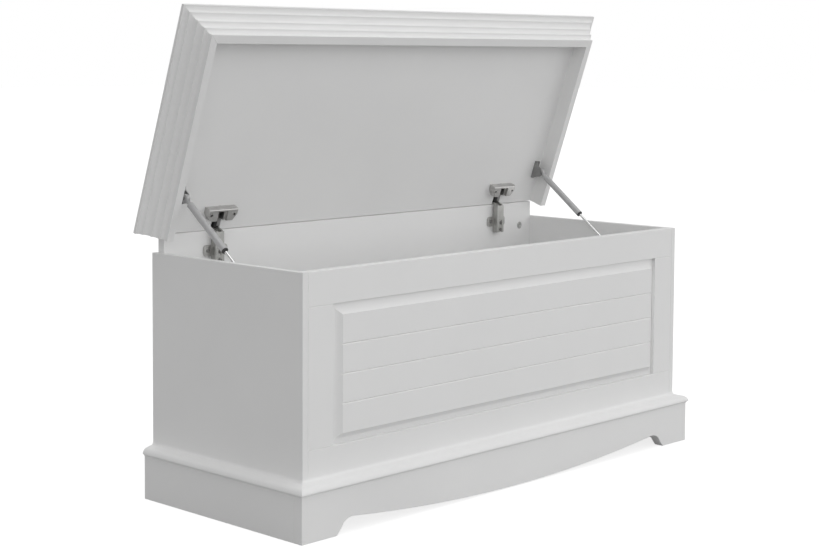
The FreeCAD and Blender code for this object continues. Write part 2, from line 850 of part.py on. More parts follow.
def lid_top_panel():
    """Board between the mouldings, bored for the cups and notched at the rear for the hinge links."""
    board = block(-rim_inner_half, rim_inner_half, rim_front_inner_y, lid_back_y, underside_z, lid_top_z)
    board = rounded(board, arris_round, lambda edge: edge_at(edge, 1, lid_back_y) and lies_along(edge, 0))
    centre_y = axis_y - cup_centre_from_axis
    notch_half = hinge_pin_length / 2 + 2 * notch_side_gap + bore_gap
    for side in (-1, 1):
        x = side * hinge_x
        cup_bore = rod(cup_radius + bore_gap, V(x, centre_y, underside_z - overrun),
                       V(x, centre_y, underside_z + cup_depth))
        notch = block(x - notch_half, x + notch_half, centre_y, lid_back_y + overrun,
                      underside_z - overrun, axis_z + nose_radius + notch_top_gap)
        board = board.cut(cup_bore).cut(notch)
    cutters = [screw_bore(place, V(0, 0, 1)) for place in both_sides(bracket_screw_places)]
    cutters += both_sides(cup_screw_bores)
    return bored(board, cutters)


def lid_mouldings():
    """Crown and rim in one section: the rim is the plain strip inside the crown."""
    profile = scaled(crown_shares, crown_out, lid_height)
    profile = [(a + rim_width, b, bulge) for a, b, bulge in profile[:-1]]
    profile = [(0, 0, 0)] + profile + [(0, lid_height, 0)]
    reach = rim_width + crown_out
    return mitred_lengths(profile, rim_inner_half, rim_front_inner_y, rim_bottom_z, reach,
                          lid_height, lid_back_y)


# Gas struts

def ear_inner_x():
    return strut_x - eye_thickness / 2 - eye_face_gap - ear_thickness


def strut_head():
    """Upper pivot of the open lid."""
    return opened_point(axis_y - strut_head_from_axis, underside_z - strut_head_drop)


def strut_foot():
    """Lower pivot on the side panel."""
    return axis_y - strut_foot_from_axis, body_height - strut_foot_below_top


def strut_line():
    """Upper pivot, unit direction to the lower pivot, and the distance between them."""
    head = V(strut_x, *strut_head())
    foot = V(strut_x, *strut_foot())
    along = foot - head
    length = along.Length
    return head, along.normalize(), length


def strut_upper_bracket():
    """Angle on the lid: an ear beside the strut and a foot screwed to the board, drawn closed."""
    inner = ear_inner_x()
    head_y = axis_y - strut_head_from_axis
    front_y = head_y - ear_front_from_head
    points = plain([(front_y + across * ear_length, underside_z - down * ear_height)
                    for across, down in ear_shares])
    ear = plate_along_x(points, inner, inner + ear_thickness)
    ear = rounded(ear, ear_round, lambda edge: lies_along(edge, 0) and not edge_at(edge, 2, underside_z))
    trim = foot_flange_side_trim
    foot = block(inner, inner + foot_flange_width, front_y + trim, front_y + ear_length - trim,
                 underside_z - ear_thickness, underside_z)
    foot = rounded(foot, ear_round,
                   lambda edge: lies_along(edge, 2) and edge_at(edge, 0, inner + foot_flange_width))
    bracket = ear.fuse(foot).removeSplitter()
    head_z = underside_z - strut_head_drop
    pin_bore = rod(strut_pin_radius + press_gap, V(inner - overrun, head_y, head_z),
                   V(inner + ear_thickness + overrun, head_y, head_z))
    cutters = [screw_bore(place, V(0, 0, 1)) for place in bracket_screw_places(1)]
    return bored(bracket, [pin_bore] + cutters)


def strut_upper_pin():
    """Headed pin of the ear, which the strut's eye turns on, drawn closed."""
    y = axis_y - strut_head_from_axis
    z = underside_z - strut_head_drop
    inner = ear_inner_x()
    eye_outer = strut_x + eye_thickness / 2
    head = rod(pin_head_radius, V(inner - pin_head_thickness, y, z), V(inner, y, z))
    shank = rod(strut_pin_radius, V(inner, y, z), V(eye_outer + pin_head_thickness, y, z))
    return head.fuse(shank)


def strut_eye(centre, along, neck_length, hole_radius):
    """Flat eye with a round neck that runs along the strut."""
    half = V(eye_thickness / 2, 0, 0)
    disc = rod(eye_radius, centre - half, centre + half)
    neck = rod(eye_neck_radius, centre, centre + along * neck_length)
    flat = block(centre.x - eye_thickness / 2, centre.x + eye_thickness / 2, centre.y - neck_length,
                 centre.y + neck_length, centre.z - neck_length, centre.z + neck_length)
    shaped = disc.fuse(neck.common(flat)).fuse(rod(eye_neck_radius, centre + along * neck_length / 2,
                                                   centre + along * neck_length))
    return shaped.cut(rod(hole_radius, centre - half * 2, centre + half * 2))


def strut_tube():
    head, along, _ = strut_line()
    start = head + along * tube_start
    end = start + along * tube_length
    tube = rod(tube_radius, start, end)
    tube = rounded(tube, edge_round, lambda edge: (edge.CenterOfMass - start).Length < tube_wall)
    return tube.cut(rod(tube_radius - tube_wall, start + along * tube_end_wall, end + along * overrun))


def strut_seal():
    """Rod guide: a plug in the tube's mouth and the dark ring that closes it."""
    head, along, _ = strut_line()
    mouth = head + along * (tube_start + tube_length)
    ring = rod(tube_radius, mouth, mouth + along * seal_length)
    plug = rod(tube_radius - tube_wall - tube_play, mouth - along * seal_plug_length, mouth)
    bore = rod(rod_radius + running_gap, mouth - along * (seal_plug_length + overrun),
               mouth + along * (seal_length + overrun))
    return ring.fuse(plug).cut(bore)


def piston_end():
    """Distance from the upper pivot to the piston's rod side when the strut is extended."""
    return tube_start + tube_length - seal_plug_length - piston_to_seal


def strut_piston():
    head, along, _ = strut_line()
    end = head + along * piston_end()
    return rod(tube_radius - tube_wall - piston_gap, end - along * piston_length, end)


def strut_rod():
    head, along, length = strut_line()
    return rod(rod_radius, head + along * piston_end(), head + along * (length - foot_neck_length))


def strut_lower_eye():
    head, along, length = strut_line()
    centre = head + along * length
    return strut_eye(centre, along * -1, foot_neck_length, strut_pin_radius + press_gap)


def strut_upper_eye():
    head, along, _ = strut_line()
    return strut_eye(head, along, tube_start, strut_pin_radius + running_gap)


def strut_lower_pin():
    """Pin of the lower eye; it ends just short of the side panel's bracket."""
    y, z = strut_foot()
    eye_inner = strut_x - eye_thickness / 2
    tip = half_inner - lower_plate_thickness - pin_end_gap
    head = rod(pin_head_radius, V(eye_inner - pin_head_thickness, y, z), V(eye_inner, y, z))
    return head.fuse(rod(strut_pin_radius, V(eye_inner, y, z), V(tip, y, z)))


def strut_lower_bracket():
    y, z = strut_foot()
    plate = block(half_inner - lower_plate_thickness, half_inner,
                  y - lower_plate_width / 2, y + lower_plate_width / 2,
                  z - lower_plate_height / 2, z + lower_plate_height / 2)
    plate = rounded(plate, lower_plate_corner, lambda edge: lies_along(edge, 0))
    return bored(plate, [screw_bore(place, V(1, 0, 0)) for place in lower_screw_places(1)])


def save_pair(name, right):
    """Save a piece for the right side and its mirror image for the left."""
    save("right_" + name, right)
    save("left_" + name, mirrored(right))


# Body pieces
save_pair("side_panel", side_panel())
save("back_panel", back_panel())
save("front_top_rail", front_top_rail())
save("front_bottom_rail", front_bottom_rail())
save_pair("front_stile", front_stile())
save("front_raised_panel", front_raised_panel())
save("bottom_panel", bottom_panel())
save("bottom_cleats", bottom_cleats())
base_front, base_right = base_mouldings()
save("front_base_moulding", base_front)
save_pair("base_moulding", base_right)
save("plinth_front_apron", plinth_front_apron())
save_pair("plinth_board", plinth_side_board())
save("plinth_rear_board", plinth_rear_board())
save("plinth_corner_blocks", plinth_corner_blocks())
save("back_cam_locks", cam_locks())
save("back_cam_bolts", cam_bolts())
save("frame_dowels", dowels())
save_pair("hinge_mounting_plate", hinge_mounting_plate())
save_pair("hinge_arm", hinge_arm())
save_pair("hinge_pin", hinge_pin())
save("hinge_plate_screws", screws(both_sides(plate_screw_places), V(0, 1, 0)))
save("hinge_arm_screws", screws(both_sides(arm_screw_places), V(0, 1, 0)))
save_pair("strut_lower_bracket", strut_lower_bracket())
lower_screws = screws(lower_screw_places(1), V(1, 0, 0))
save("strut_lower_screws", Part.makeCompound([lower_screws, mirrored(lower_screws)]))

# Lid pieces
lid_front, lid_right = lid_mouldings()
save("lid_top_panel", opened(lid_top_panel()))
save("lid_front_moulding", opened(lid_front))
save_pair("lid_moulding", opened(lid_right))
save_pair("hinge_cup", opened(hinge_cup()))
save_pair("hinge_link", opened(hinge_link()))
save("hinge_cup_rivets", hinge_cup_rivets())
save("hinge_cup_screws", opened(cup_screws()))
save_pair("strut_upper_bracket", opened(strut_upper_bracket()))
save("strut_upper_screws", opened(screws(both_sides(bracket_screw_places), V(0, 0, 1))))
upper_pin = opened(strut_upper_pin())
save("strut_upper_pins", Part.makeCompound([upper_pin, mirrored(upper_pin)]))

# Strut pieces
save_pair("strut_tube", strut_tube())
save_pair("strut_upper_eye", strut_upper_eye())
save_pair("strut_seal", strut_seal())
save_pair("strut_piston", strut_piston())
save_pair("strut_rod", strut_rod())
save_pair("strut_lower_eye", strut_lower_eye())
save_pair("strut_lower_pin", strut_lower_pin())
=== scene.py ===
import json
import math

import bpy
from mathutils import Matrix, Vector


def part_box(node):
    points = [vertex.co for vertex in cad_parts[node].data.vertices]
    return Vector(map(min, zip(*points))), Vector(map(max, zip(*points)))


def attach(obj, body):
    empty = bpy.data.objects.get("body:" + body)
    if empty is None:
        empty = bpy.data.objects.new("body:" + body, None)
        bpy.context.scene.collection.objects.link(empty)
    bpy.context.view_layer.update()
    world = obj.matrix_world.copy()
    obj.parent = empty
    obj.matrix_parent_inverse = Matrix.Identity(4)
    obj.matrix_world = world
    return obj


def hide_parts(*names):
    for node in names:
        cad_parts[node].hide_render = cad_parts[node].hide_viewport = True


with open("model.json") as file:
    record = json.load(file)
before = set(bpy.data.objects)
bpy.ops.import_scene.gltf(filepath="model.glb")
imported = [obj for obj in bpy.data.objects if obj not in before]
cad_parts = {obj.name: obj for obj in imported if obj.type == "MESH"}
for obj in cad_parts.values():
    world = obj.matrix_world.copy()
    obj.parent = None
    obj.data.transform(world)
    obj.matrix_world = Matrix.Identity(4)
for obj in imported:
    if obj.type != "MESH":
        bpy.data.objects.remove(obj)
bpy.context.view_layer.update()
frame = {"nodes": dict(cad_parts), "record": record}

# Sizes in metres, in the chest's own frame: +Z up, front towards -Y
MM = 0.001
WELD = 0.01 * MM
FLAT_ANGLE = math.radians(0.6)
EDGE_ANGLE = math.radians(32.0)
SMOOTH_ANGLE = math.radians(38.0)
JOINT_ANGLE = math.radians(60.0)

# Cosines: above the first, an edge runs along an axis, and below the second, a face looks sideways
PARALLEL = 0.98
SIDEWAYS = 0.5

# Width of the fine V lines at the joints of the front frame
JOINT_BREAK = 1.1 * MM

# A face whose area differs by less than this share from a head's is the flat top of a head
HEAD_AREA_SPREAD = 0.12

# Segments of each kind of rounding
JOINT_SEGMENTS = 2
BOARD_SEGMENTS = 3
FITTING_SEGMENTS = 2
CROWN_SEGMENTS = 4
SLOT_SEGMENTS = 5

# The upper eyes' rim, as distances from the pivot, and how much fuller it gets
EYE_RIM_LOW, EYE_RIM_HIGH = 5.2 * MM, 6.4 * MM
EYE_WIDENING = 1.3

# The part of a noise's range that carries nearly all of its changes
NOISE_LOW, NOISE_HIGH = 0.3, 0.7

# The ground and the light of the photograph's studio
WHITE = (1.0, 1.0, 1.0, 1.0)
FLOOR_SIZE = 60.0
GROUND_TINT = (0.38, 0.38, 0.38)
GROUND_GLOW = 0.8
ROOM_STRENGTH = 0.36
LAMP_SPREAD = math.radians(55.0)
LAMP_PLACE = (0.0, 0.0, 3.0)

# The camera, solved from the edges of the chest in the photograph
PHOTO_WIDTH, PHOTO_HEIGHT = 819, 546
FOCAL_PIXELS = 1695.8
AXIS_PIXEL_X, AXIS_PIXEL_Y = 361.2, 173.0
SENSOR_WIDTH_MM = 36.0
EYE = (-2.3146, -2.0986, 0.7673)
YAW, PITCH, ROLL = math.radians(45.215), math.radians(-3.979), math.radians(0.218)
CLIP_START, CLIP_END = 0.05, 100.0

# Width of the eased edges of each painted board, in millimetres
BOARD_EDGES = {
    "right_side_panel": 0.6, "left_side_panel": 0.6, "back_panel": 0.7,
    "front_top_rail": 0.4, "front_bottom_rail": 0.4, "right_front_stile": 0.4, "left_front_stile": 0.4,
    "front_raised_panel": 0.5, "bottom_panel": 0.5,
    "front_base_moulding": 0.4, "right_base_moulding": 0.4, "left_base_moulding": 0.4,
    "plinth_front_apron": 0.8, "right_plinth_board": 0.6, "left_plinth_board": 0.6, "plinth_rear_board": 0.6,
    "lid_top_panel": 0.6, "lid_front_moulding": 0.4, "right_lid_moulding": 0.4, "left_lid_moulding": 0.4,
}
FRAME_BOARDS = ("front_top_rail", "front_bottom_rail", "right_front_stile", "left_front_stile")

# Radius of the heads and of their crown, then width, reach and depth of the cross recess, in millimetres
FASTENERS = {
    "hinge_plate_screws": (3.4, 0.9, 1.0, 2.1, 0.9),
    "hinge_arm_screws": (3.4, 0.9, 1.0, 2.1, 0.9),
    "strut_upper_screws": (3.4, 0.9, 1.0, 2.1, 0.9),
    "strut_lower_screws": (3.4, 0.9, 1.0, 2.1, 0.9),
    "hinge_cup_screws": (2.2, 0.5, 0.8, 1.5, 0.8),
    "back_cam_locks": (7.4, 0.5, 1.6, 4.4, 1.8),
}

# Cuts in a hinge's arm: half the width, start and end behind the arm's face and rounding, in millimetres,
# then lower and upper end above the ground, in metres
ARM_CUTS = (
    (4.0, -2.0, 4.0, 3.4, 0.4146, 0.4274),
    (4.0, -2.0, 5.0, 3.0, 0.3980, 0.4108),
    (5.0, -2.0, 0.7, 0.3, 0.4122, 0.4132),
    (14.0, 4.2, 8.4, 1.6, 0.4165, 0.4295),
)
ARM_EDGE = 0.25 * MM

# Width of the broken edges of each other fitting of a side, in millimetres
FITTING_EDGES = {
    "hinge_mounting_plate": 0.4, "hinge_cup": 0.5, "hinge_link": 0.5,
    "strut_upper_bracket": 0.35, "strut_lower_bracket": 0.35, "strut_upper_eye": 0.8, "strut_lower_eye": 0.6,
    "strut_tube": 0.5, "strut_seal": 0.5, "strut_lower_pin": 0.3,
}
PIN_EDGE = 0.5 * MM

# Way towards each lamp, and its strength
LAMPS = {
    "right_front_soft_light": ((0.7, -0.8, 0.25), 0.87),
    "left_front_soft_light": ((-0.6, -0.8, 0.25), 0.64),
    "overhead_soft_light": ((0.0, -0.1, 1.0), 0.97),
    "back_soft_light": ((0.2, 1.0, 0.5), 0.42),
}


def clear_selection():
    bpy.ops.object.select_all(action="DESELECT")


def pick(piece):
    clear_selection()
    piece.select_set(True)
    bpy.context.view_layer.objects.active = piece


# Finishes


class Finish:
    """A material with its shader and short ways to add and join nodes."""

    def __init__(self, name):
        self.material = bpy.data.materials.new(name)
        self.material.use_nodes = True
        self.tree = self.material.node_tree
        self.tree.nodes.clear()
        self.out = self.add("ShaderNodeOutputMaterial")
        self.shader = self.add("ShaderNodeBsdfPrincipled")
        self.join(self.shader, "BSDF", self.out, "Surface")
        self.coords = self.add("ShaderNodeTexCoord")

    def add(self, kind, **settings):
        node = self.tree.nodes.new(kind)
        for key, value in settings.items():
            setattr(node, key, value)
        return node

    def join(self, source, output, target, socket):
        self.tree.links.new(source.outputs[output], target.inputs[socket])

    def stretch(self, scale):
        """Object coordinates, stretched along the axes."""
        mapping = self.add("ShaderNodeMapping")
        mapping.inputs["Scale"].default_value = scale
        self.join(self.coords, "Object", mapping, "Vector")
        return mapping

    def cloud(self, scale, detail=3.0, rough=0.55, stretched=None):
        noise = self.add("ShaderNodeTexNoise")
        noise.inputs["Scale"].default_value = scale
        noise.inputs["Detail"].default_value = detail
        noise.inputs["Roughness"].default_value = rough
        if stretched is None:
            self.join(self.coords, "Object", noise, "Vector")
        else:
            self.join(stretched, "Vector", noise, "Vector")
        return noise

    def colour_from(self, source, stops):
        """Base colour that follows a noise through stops, each a place and a colour."""
        ramp = self.add("ShaderNodeValToRGB")
        first, last = ramp.color_ramp.elements[0], ramp.color_ramp.elements[-1]
        first.position, first.color = stops[0][0], (*stops[0][1], 1.0)
        last.position, last.color = stops[-1][0], (*stops[-1][1], 1.0)
        for place, colour in stops[1:-1]:
            element = ramp.color_ramp.elements.new(place)
            element.color = (*colour, 1.0)
        self.join(source, "Fac", ramp, "Fac")
        self.join(ramp, "Color", self.shader, "Base Color")

    def mottle(self, dark, light, scale, detail=3.0):
        """Base colour in soft clouds between two near shades."""
        self.colour_from(self.cloud(scale, detail), [(NOISE_LOW, dark), (NOISE_HIGH, light)])

    def roughness_from(self, source, smooth, rough):
        spread = self.add("ShaderNodeMapRange")
        spread.inputs["From Min"].default_value = NOISE_LOW
        spread.inputs["From Max"].default_value = NOISE_HIGH
        spread.inputs["To Min"].default_value = smooth
        spread.inputs["To Max"].default_value = rough
        self.join(source, "Fac", spread, "Value")
        self.join(spread, "Result", self.shader, "Roughness")

    def relief(self, source, depth, strength, over=None):
        bump = self.add("ShaderNodeBump")
        bump.inputs["Distance"].default_value = depth
        bump.inputs["Strength"].default_value = strength
        self.join(source, "Fac", bump, "Height")
        if over is not None:
            self.join(over, "Normal", bump, "Normal")
        return bump

    def normal_from(self, bump):
        self.join(bump, "Normal", self.shader, "Normal")


def satin_lacquer(name, dark, light, smooth, rough, grain):
    """Sprayed satin lacquer on board: soft clouds in the white, fine orange peel and faint sanding lines."""
    f = Finish(name)
    f.mottle(dark, light, scale=4.0, detail=5.0)
    f.roughness_from(f.cloud(scale=38.0, detail=4.0), smooth, rough)
    sanding = f.relief(f.cloud(scale=60.0, stretched=f.stretch(grain)), depth=0.05 * MM, strength=0.35)
    f.normal_from(f.relief(f.cloud(scale=620.0, detail=2.0), depth=0.05 * MM, strength=0.4, over=sanding))
    f.shader.inputs["IOR"].default_value = 1.48
    return f.material


def plated_metal(name, dark, light, smooth, rough, lines=(1.0, 1.0, 1.0), line_depth=0.006 * MM):
    """Plated or plain metal: smudged gloss and fine lines left by drawing or rolling."""
    f = Finish(name)
    f.shader.inputs["Metallic"].default_value = 1.0
    f.mottle(dark, light, scale=60.0)
    f.roughness_from(f.cloud(scale=130.0, stretched=f.stretch(lines)), smooth, rough)
    fine = f.cloud(scale=700.0, detail=2.0, stretched=f.stretch(lines))
    f.normal_from(f.relief(fine, depth=line_depth, strength=0.4))
    return f.material


def painted_tube(name, dark, light):
    """Enamel on the gas strut's tube and upper eye: even colour, shallow flow marks."""
    f = Finish(name)
    f.mottle(dark, light, scale=70.0)
    f.roughness_from(f.cloud(scale=180.0), smooth=0.28, rough=0.4)
    f.normal_from(f.relief(f.cloud(scale=420.0, detail=2.0), depth=0.03 * MM, strength=0.5))
    f.shader.inputs["Coat Weight"].default_value = 0.25
    f.shader.inputs["Coat Roughness"].default_value = 0.2
    return f.material


def fine_black(name, dark, light):
    """The seal's moulded plastic and the link's enamel: black, with a fine spark texture."""
    f = Finish(name)
    f.mottle(dark, light, scale=160.0)
    f.roughness_from(f.cloud(scale=300.0), smooth=0.42, rough=0.6)
    f.normal_from(f.relief(f.cloud(scale=1500.0, detail=2.0), depth=0.04 * MM, strength=0.6))
    return f.material


def plain_softwood(name):
    """Unpainted softwood: rings stretched along the board, with darker late wood."""
    f = Finish(name)
    grain = f.stretch((1.2, 16.0, 16.0))
    rings = f.cloud(scale=9.0, detail=6.0, rough=0.6, stretched=grain)
    f.colour_from(rings, [(0.34, (0.42, 0.27, 0.145)), (0.5, (0.62, 0.45, 0.27)), (0.66, (0.7, 0.54, 0.35))])
    f.roughness_from(rings, smooth=0.55, rough=0.75)
    f.normal_from(f.relief(f.cloud(scale=70.0, detail=4.0, stretched=grain), depth=0.12 * MM, strength=0.5))
    return f.material


def grey(level):
    return (level, level, level)


# Scale of a finish's coordinates: its marks are drawn out along an axis where the scale is small
SANDING_LINES = (0.12, 1.0, 1.0)
ROLLING_LINES = (0.2, 1.0, 1.0)
GRINDING_LINES = (0.1, 1.0, 1.0)

# Each lacquer and metal has its dark and its light shade, then its least and its greatest roughness
WHITE_DARK, WHITE_LIGHT = (0.85, 0.85, 0.848), (0.875, 0.875, 0.872)
finishes = {
    "white_paint": satin_lacquer("satin_white_lacquer", WHITE_DARK, WHITE_LIGHT, 0.4, 0.5, SANDING_LINES),
    "bare_wood": plain_softwood("plain_softwood"),
    "zinc": plated_metal("die_cast_zinc", (0.5, 0.5, 0.49), (0.6, 0.6, 0.59), 0.45, 0.58),
    "screw_steel": plated_metal("screw_steel", (0.2, 0.2, 0.195), (0.3, 0.3, 0.29), 0.3, 0.42),
    "nickel": plated_metal("nickel_plate", (0.5, 0.495, 0.485), (0.6, 0.595, 0.585), 0.28, 0.38,
                           ROLLING_LINES),
    "bright_steel": plated_metal("ground_bright_steel", grey(0.68), grey(0.8), 0.1, 0.18, GRINDING_LINES,
                                 line_depth=0.003 * MM),
    "dark_link": fine_black("black_enamel_link", grey(0.018), grey(0.035)),
    "strut_paint": painted_tube("strut_grey_enamel", (0.44, 0.44, 0.445), (0.5, 0.5, 0.505)),
    "black_seal": fine_black("black_seal_plastic", grey(0.03), grey(0.055)),
    "bracket_steel": plated_metal("dark_bracket_steel", grey(0.28), grey(0.37), 0.36, 0.48),
}
# The arms take a duller, rougher nickel, and its darker colour is painted shade that makes the arms look
# dimmer than the rest of the hinges
shade_darkened_satin_nickel = plated_metal("satin_nickel_plate", (0.43, 0.43, 0.415), (0.51, 0.51, 0.495), 0.42, 0.52)

slot_of = {row["node"]: row["material_slot"] for row in frame["record"]["subparts"]}
behaviour = frame["record"]["behaviour"]
body_of = {node: body for body, nodes in behaviour["bodies"].items() for node in nodes}
pivot_of = {joint["name"]: Vector(joint["pos_m"]) for joint in behaviour["joints"] if "pos_m" in joint}


def dress(piece, material):
    piece.data.materials.clear()
    piece.data.materials.append(material)


for node, carried in frame["nodes"].items():
    dress(carried, finishes[slot_of[node]])


# Mesh work that boards and fittings share


def welded_copy(node, name):
    """A copy of a CAD node's mesh with its doubles merged and its flat faces whole, ready for edge work."""
    piece = bpy.data.objects.new(name, frame["nodes"][node].data.copy())
    bpy.context.scene.collection.objects.link(piece)
    pick(piece)
    bpy.ops.object.mode_set(mode="EDIT")
    bpy.ops.mesh.select_all(action="SELECT")
    bpy.ops.mesh.remove_doubles(threshold=WELD)
    bpy.ops.mesh.dissolve_limited(angle_limit=FLAT_ANGLE)
    bpy.ops.mesh.normals_make_consistent(inside=False)
    bpy.ops.object.mode_set(mode="OBJECT")
    return piece


def select_edges(mesh, wanted):
    """Select the edges that a test wants, and nothing else."""
    chosen = [edge.index for edge in mesh.edges if wanted(edge)]
    for elements in (mesh.vertices, mesh.edges, mesh.polygons):
        for element in elements:
            element.select = False
    for index in chosen:
        mesh.edges[index].select = True


def bevel_selected(piece, width, segments):
    pick(piece)
    bpy.ops.object.mode_set(mode="EDIT")
    bpy.ops.mesh.select_mode(type="EDGE")
    bpy.ops.mesh.bevel(offset=width, segments=segments, affect="EDGES")
    bpy.ops.object.mode_set(mode="OBJECT")


def ease_edges(piece, width, segments):
    """Bevel every edge that turns more than EDGE_ANGLE, and shade the piece smooth with even normals."""
    pick(piece)
    eased = piece.modifiers.new("eased_edges", "BEVEL")
    eased.width = width
    eased.segments = segments
    eased.limit_method = "ANGLE"
    eased.angle_limit = EDGE_ANGLE
    eased.use_clamp_overlap = True
    bpy.ops.object.modifier_apply(modifier=eased.name)
    bpy.ops.object.shade_smooth_by_angle(angle=SMOOTH_ANGLE)
    even = piece.modifiers.new("even_normals", "WEIGHTED_NORMAL")
    even.keep_sharp = True
    bpy.ops.object.modifier_apply(modifier=even.name)


def seat(piece, node):
    """The finished piece takes the CAD node's place, body and finish."""
    dress(piece, finishes[slot_of[node]])
    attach(piece, body_of[node])
    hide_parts(node)


# Painted boards: the CAD boards with their arrises eased, as a sander and two coats of lacquer leave them


def front_arris(piece, width):
    """Break the sharp outline of the board's front face, which draws the frame's joints as fine V lines."""
    mesh = piece.data
    front = min(vertex.co.y for vertex in mesh.vertices)
    pick(piece)
    bpy.ops.object.mode_set(mode="EDIT")
    bpy.ops.mesh.select_mode(type="EDGE")
    bpy.ops.mesh.select_all(action="DESELECT")
    bpy.ops.mesh.edges_select_sharp(sharpness=JOINT_ANGLE)
    bpy.ops.object.mode_set(mode="OBJECT")

    def sharp_in_front(edge):
        return edge.select and all(mesh.vertices[end].co.y < front + WELD for end in edge.vertices)

    select_edges(mesh, sharp_in_front)
    bevel_selected(piece, width, JOINT_SEGMENTS)


for node, width in BOARD_EDGES.items():
    board = welded_copy(node, node + "_lacquered")
    if node in FRAME_BOARDS:
        front_arris(board, JOINT_BREAK)
    ease_edges(board, width * MM, BOARD_SEGMENTS)
    seat(board, node)


# Fittings: the CAD pieces with their edges broken, and the slots, crowned heads and recesses that show


def cross_cutter(place, direction, width, reach, depth):
    """A plus-shaped prism that sinks a cross recess of this depth along direction."""
    clear_selection()
    bpy.ops.mesh.primitive_cube_add(size=width)
    cutter = bpy.context.object
    bpy.ops.object.mode_set(mode="EDIT")
    bpy.ops.mesh.select_mode(type="FACE")
    bpy.ops.object.mode_set(mode="OBJECT")
    for face in cutter.data.polygons:
        face.select = abs(face.normal.z) < SIDEWAYS
    bpy.ops.object.mode_set(mode="EDIT")
    bpy.ops.mesh.extrude_faces_move(TRANSFORM_OT_shrink_fatten={"value": reach - width / 2})
    bpy.ops.object.mode_set(mode="OBJECT")
    turn = direction.to_track_quat("Z", "Y").to_matrix().to_4x4()
    tall = Matrix.Diagonal((1.0, 1.0, 2 * depth / width, 1.0))
    cutter.data.transform(Matrix.Translation(place) @ turn @ tall)
    return cutter


def slot_cutter(low, high, rounding):
    """A block between two corners, with its edges along Y rounded, or along X where it is wider than deep."""
    clear_selection()
    bpy.ops.mesh.primitive_cube_add(size=1.0)
    cutter = bpy.context.object
    size = Vector(high) - Vector(low)
    middle = (Vector(high) + Vector(low)) / 2
    cutter.data.transform(Matrix.Translation(middle) @ Matrix.Diagonal((*size, 1.0)))
    along = 1 if size.y >= size.x else 0
    for edge in cutter.data.edges:
        start, end = [cutter.data.vertices[index].co for index in edge.vertices]
        run = end - start
        edge.select = abs(run[along]) > PARALLEL * run.length
    bevel_selected(cutter, rounding, SLOT_SEGMENTS)
    return cutter


def cut_out(piece, cutters):
    """Take each cutter out of the piece and throw the cutter away."""
    for cutter in cutters:
        pick(piece)
        taken = piece.modifiers.new("cut", "BOOLEAN")
        taken.operation = "DIFFERENCE"
        taken.solver = "EXACT"
        taken.object = cutter
        bpy.ops.object.modifier_apply(modifier=taken.name)
        bpy.data.objects.remove(cutter)


def crowned_heads(piece, radius, crown):
    """Round the rim of every head of this radius. Gives the centre and outward direction of each flat top."""
    area = math.pi * radius * radius
    heads = [face for face in piece.data.polygons if abs(face.area - area) < HEAD_AREA_SPREAD * area]
    tops = [(face.center.copy(), face.normal.copy()) for face in heads]
    rims = {key for face in heads for key in face.edge_keys}
    select_edges(piece.data, lambda edge: edge.key in rims)
    bevel_selected(piece, crown, CROWN_SEGMENTS)
    return tops


def fastener(node, radius, crown, slot_width, reach, depth):
    """Screws or cam locks of a CAD node with crowned heads and cross recesses."""
    piece = welded_copy(node, node + "_crowned")
    tops = crowned_heads(piece, radius, crown)
    cut_out(piece, [cross_cutter(place, -facing, slot_width, reach, depth) for place, facing in tops])
    pick(piece)
    bpy.ops.object.shade_smooth_by_angle(angle=SMOOTH_ANGLE)
    seat(piece, node)


for node, sizes in FASTENERS.items():
    fastener(node, *[size * MM for size in sizes])


def detailed_arm(side):
    """The arm with a slot round each screw, the crease between them and one slot through both walls."""
    node = side + "_hinge_arm"
    low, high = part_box(node)
    middle = (low[0] + high[0]) / 2
    face = low[1]
    arm = welded_copy(node, node + "_slotted")
    cutters = []
    for half, start, end, rounding, low_end, high_end in ARM_CUTS:
        near = (middle - half * MM, face + start * MM, low_end)
        far = (middle + half * MM, face + end * MM, high_end)
        cutters.append(slot_cutter(near, far, rounding * MM))
    cut_out(arm, cutters)
    ease_edges(arm, ARM_EDGE, FITTING_SEGMENTS)
    seat(arm, node)
    # Duller nickel whose darker colour is painted shade on the arm
    dress(arm, shade_darkened_satin_nickel)


def soften_edge(piece, towards, shortest, width, segments):
    """Round the one long edge along X that lies furthest in a direction of the Y and Z plane."""
    mesh = piece.data
    aim = Vector(towards)
    best, reached = None, None
    for edge in mesh.edges:
        start, end = [mesh.vertices[index].co for index in edge.vertices]
        run = end - start
        reach = (start + end).dot(aim)
        long_enough = abs(run.x) > PARALLEL * run.length and run.length > shortest
        if long_enough and (best is None or reach > reached):
            best, reached = edge.index, reach
    select_edges(mesh, lambda edge: edge.index == best)
    bevel_selected(piece, width, segments)


def fuller_eye(piece, pivot):
    """Widen the rim of a strut's eye in its own plane, and keep its bore and neck as they are."""
    pick(piece)
    bpy.ops.object.mode_set(mode="EDIT")
    bpy.ops.mesh.select_mode(type="VERT")
    bpy.ops.mesh.select_all(action="DESELECT")
    bpy.ops.object.mode_set(mode="OBJECT")
    for vertex in piece.data.vertices:
        reach = math.hypot(vertex.co.y - pivot.y, vertex.co.z - pivot.z)
        vertex.select = EYE_RIM_LOW < reach < EYE_RIM_HIGH
    bpy.ops.object.mode_set(mode="EDIT")
    bpy.ops.transform.resize(value=(1.0, EYE_WIDENING, EYE_WIDENING), center_override=pivot)
    bpy.ops.object.mode_set(mode="OBJECT")


